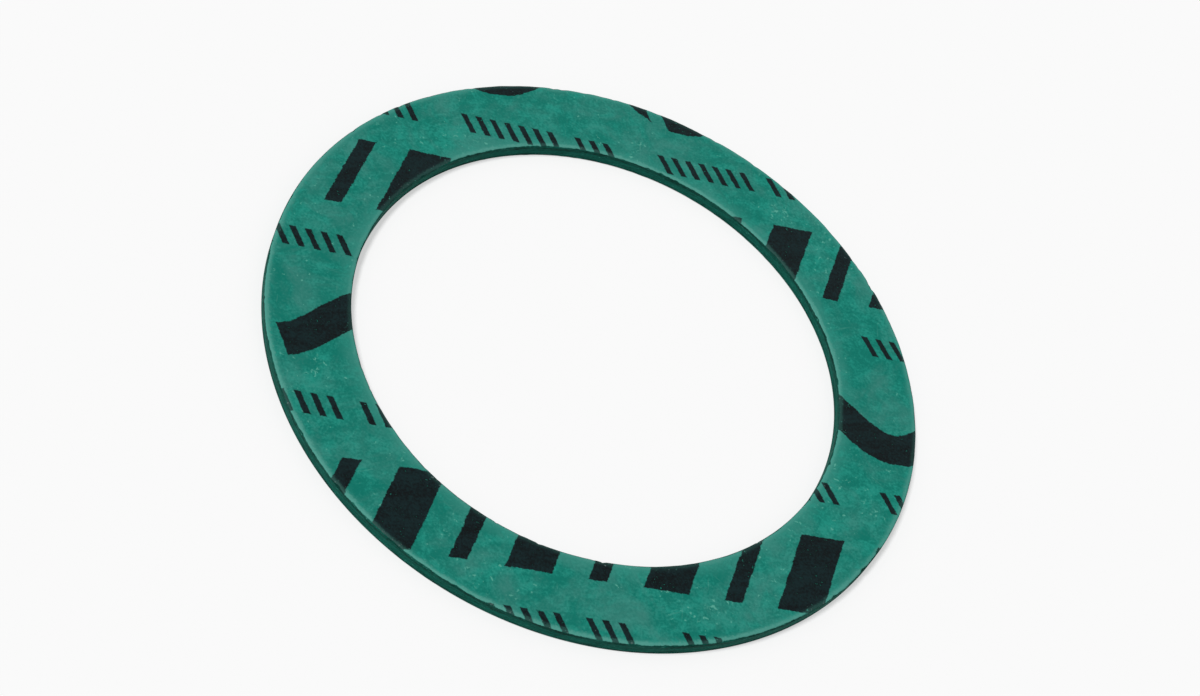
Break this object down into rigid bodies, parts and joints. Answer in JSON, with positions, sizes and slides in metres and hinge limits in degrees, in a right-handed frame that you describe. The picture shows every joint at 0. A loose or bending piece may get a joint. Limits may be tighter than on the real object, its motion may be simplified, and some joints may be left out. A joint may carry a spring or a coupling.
{
  "type": "flat ring gasket",
  "caption": "Flat ring gasket die-cut from green compressed fibre sheet, clamped between two flat flange faces to seal the joint around a bore.",
  "frame": {"origin": "centre of the ring on its back face, which lies on the surface", "axes": "+Z along the ring's axis, out of the printed face; X and Y are free, because the ring is round"},
  "size_m": [0.0762, 0.0762, 0.0016],
  "materials": {
    "fibre_sheet": null
  },
  "bodies": {
    "root": {"gasket_ring": "fibre_sheet"}
  },
  "joints": []
}
